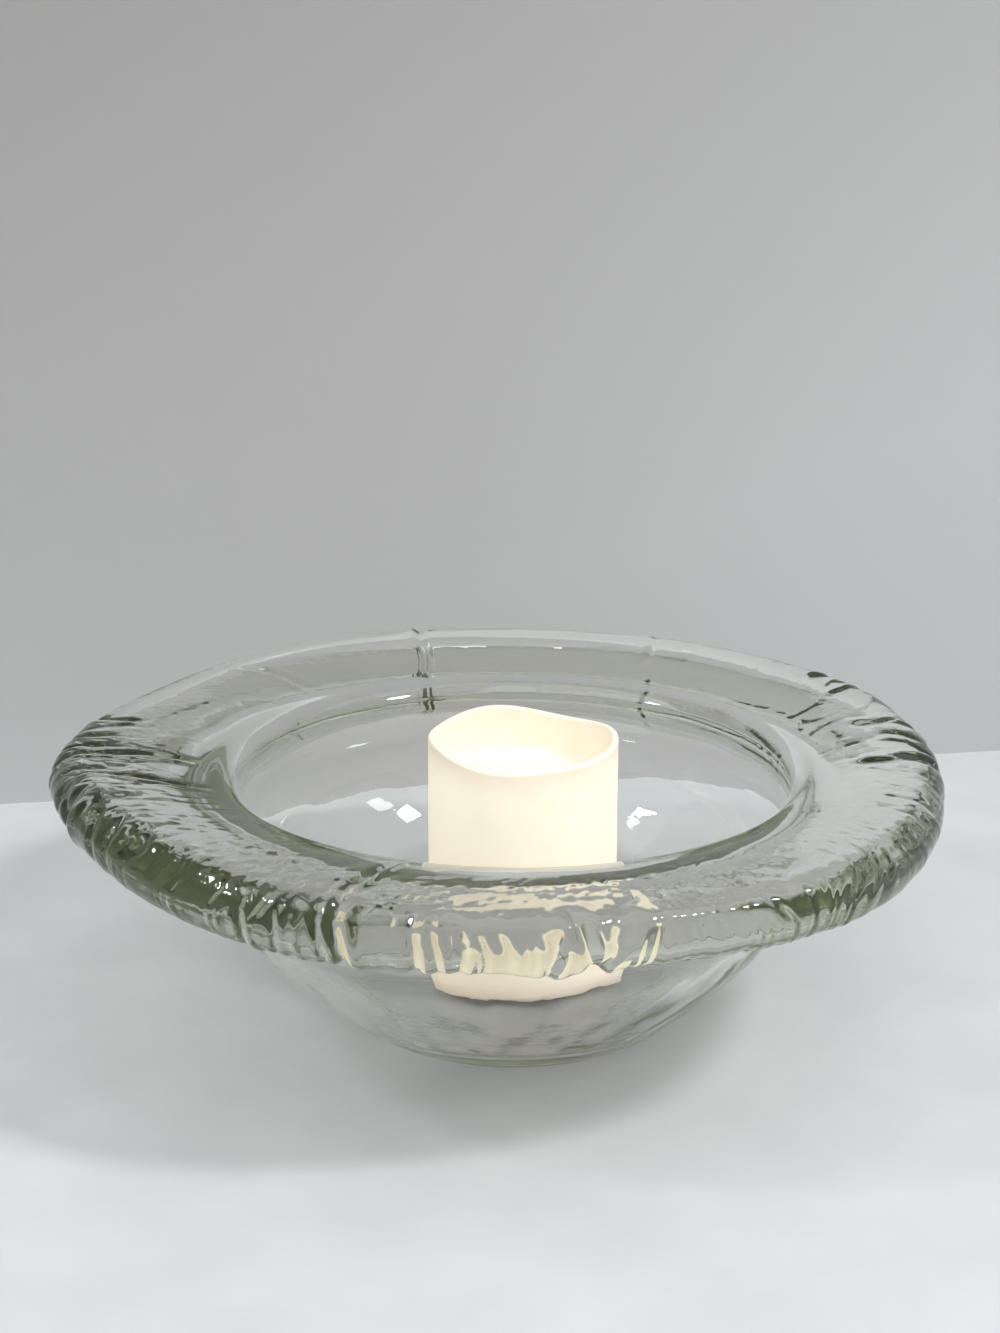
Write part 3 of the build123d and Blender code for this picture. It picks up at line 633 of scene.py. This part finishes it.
def dress_nodes():
    """Gives each CAD piece that stays its material, by its material slot."""
    by_slot = {
        "white_plastic": moulded("white_plastic", (0.84, 0.84, 0.81)),
        "base_plastic": moulded("base_plastic", (0.82, 0.77, 0.65), 0.45),
        "foot_rubber": moulded("foot_rubber", (0.05, 0.05, 0.05), 0.75, 0.25 * mm),
        "screw_steel": metal("screw_steel", (0.60, 0.60, 0.61)),
        "contact_nickel": metal("contact_nickel", (0.74, 0.71, 0.66), 0.22),
        "cell_jacket": cell_jacket(),
        "board_green": board_green(),
        "black_plastic": moulded("black_plastic", (0.03, 0.03, 0.032), 0.5),
        "capacitor_can": metal("capacitor_can", (0.72, 0.72, 0.74), 0.3),
        "resistor_body": moulded("resistor_body", (0.62, 0.48, 0.30), 0.35),
        "lamp_warm": lit_lamp(),
        "red_wire": moulded("red_wire", (0.50, 0.03, 0.025), 0.38),
        "black_wire": moulded("black_wire", (0.025, 0.025, 0.027), 0.38),
    }
    for row in frame["record"]["subparts"]:
        piece = frame["nodes"][row["node"]]
        if row["material_slot"] in by_slot:
            piece.data.materials.clear()
            piece.data.materials.append(by_slot[row["material_slot"]])


def make_camera():
    """The photograph's camera, placed by where it shows the middle of the lip."""
    data = bpy.data.cameras.new("camera")
    data.sensor_width = sensor_width_mm
    data.lens = focal_pixels * sensor_width_mm / max(image_width_pixels, image_height_pixels)
    camera = bpy.data.objects.new("camera", data)
    bpy.context.scene.collection.objects.link(camera)
    pitch = look_down - atan((lip_pixel[1] - image_height_pixels / 2) / focal_pixels)
    yaw = atan((lip_pixel[0] - image_width_pixels / 2) / focal_pixels)
    forward = Vector((-sin(yaw) * cos(pitch), cos(yaw) * cos(pitch), -sin(pitch)))
    level_right = forward.cross(Vector((0, 0, 1))).normalized()
    level_up = level_right.cross(forward)
    right = level_right * cos(camera_roll) + level_up * sin(camera_roll)
    up = level_up * cos(camera_roll) - level_right * sin(camera_roll)
    turn = Matrix((right, up, -forward)).transposed().to_4x4()
    lip_middle = Vector((0, 0, rim_top_height - half_rim))
    stand = lip_middle + lip_distance * Vector((0, -cos(look_down), sin(look_down)))
    camera.matrix_world = Matrix.Translation(stand) @ turn
    bpy.context.scene.camera = camera


def flat_stage(name, corners, material):
    """One flat face that isn't part of the object."""
    mesh = bpy.data.meshes.new(name)
    mesh.from_pydata(corners, [], [tuple(range(len(corners)))])
    mesh.materials.append(material)
    piece = bpy.data.objects.new(name, mesh)
    bpy.context.scene.collection.objects.link(piece)


def make_stage():
    """A pale table, and a grey backdrop behind it with painted shade, darker upwards, that shows
    only from its front."""
    table = Shader("pale_table", {"Roughness": 0.6, "Specular IOR Level": 0.3})
    table.set(table.main, {"Base Color": table.ramp(table.noise(60 * mm, 5.0), (
        (0.3, (0.56, 0.585, 0.595)), (0.7, (0.62, 0.64, 0.65))))})
    corners = ((-1, -1), (1, -1), (1, 1), (-1, 1))
    flat_stage("table", [(x * table_reach, y * table_reach, -table_gap) for x, y in corners],
               table.material)
    wall = Shader("grey_backdrop", {"Roughness": 0.9, "Specular IOR Level": 0.1})
    axes = wall.add("ShaderNodeSeparateXYZ", {"Vector": wall.place.outputs["Object"]})
    tilt = wall.maths("MULTIPLY", axes.outputs["X"], backdrop_painted_shade_tilt)
    height = wall.maths("SUBTRACT", axes.outputs["Z"], tilt)
    # The backdrop's painted shade: darker upwards and towards the left.
    shade = wall.spread(height, 0.0, 1.0, backdrop_pale_to, backdrop_painted_dark_from)
    wall.set(wall.main, {"Base Color": wall.ramp(shade, (
        (0.0, (0.53, 0.53, 0.535)), (1.0, (0.33, 0.325, 0.32))))})
    side = wall.add("ShaderNodeNewGeometry").outputs["Backfacing"]
    clear = wall.add("ShaderNodeBsdfTransparent")
    mix = wall.add("ShaderNodeMixShader", {"Fac": side})
    set_indexed(wall, mix, (side, wall.main.outputs[0], clear.outputs[0]))
    wall.links.new(mix.outputs[0], wall.nodes["Material Output"].inputs["Surface"])
    left, right = Vector((*backdrop_left, 0)), Vector((*backdrop_right, 0))
    along = (right - left).normalized() * backdrop_reach
    left, right, up = left - along, right + along, Vector((0, 0, backdrop_height))
    flat_stage("backdrop", [left, right, right + up, left + up], wall.material)


def area_light(name, place, size, power):
    """A square white lamp that shines from its place towards the bowl."""
    data = bpy.data.lights.new(name, "AREA")
    data.size, data.energy = size, power
    lamp = bpy.data.objects.new(name, data)
    lamp.location = place
    lamp.rotation_mode = "QUATERNION"
    lamp.rotation_quaternion = (Vector(lamps_aim) - Vector(place)).to_track_quat("-Z", "Y")
    bpy.context.scene.collection.objects.link(lamp)


def make_light():
    """A soft white sky, brightest straight above, with a broad lamp and a small one."""
    world = bpy.data.worlds.new("world")
    bpy.context.scene.world = world
    world.use_nodes = True
    nodes, links = world.node_tree.nodes, world.node_tree.links
    place = nodes.new("ShaderNodeTexCoord")
    axes = nodes.new("ShaderNodeSeparateXYZ")
    links.new(place.outputs["Generated"], axes.inputs[0])
    ramp = nodes.new("ShaderNodeValToRGB")
    links.new(axes.outputs["Z"], ramp.inputs["Fac"])
    while len(ramp.color_ramp.elements) < len(sky_levels):
        ramp.color_ramp.elements.new(1.0)
    for element, (where, level) in zip(ramp.color_ramp.elements, sky_levels):
        element.position = where
        element.color = (level, level, level, 1.0)
    links.new(ramp.outputs["Color"], nodes["Background"].inputs["Color"])
    area_light("window", *window_lamp)
    area_light("far_window", *far_window_lamp)


def lamp_glow():
    """A small light at the top of the candle's lamp. It moves with the candle."""
    data = bpy.data.lights.new("lamp_glow", "POINT")
    data.energy, data.color, data.shadow_soft_size = glow_power, glow_color, glow_radius
    glow = bpy.data.objects.new("lamp_glow", data)
    glow.location = (candle_x, 0.0, lamp_high.z + glow_rise)
    bpy.context.scene.collection.objects.link(glow)
    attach(glow, "candle")


dress_nodes()
glass_bowl(clear_glass())
wax_shell(glowing_wax())
make_camera()
make_stage()
make_light()
lamp_glow()

scene = bpy.context.scene
scene.view_settings.view_transform = "Standard"
scene.cycles.max_bounces = 32
scene.cycles.glossy_bounces = 24
scene.cycles.transmission_bounces = 32
scene.cycles.transparent_max_bounces = 16
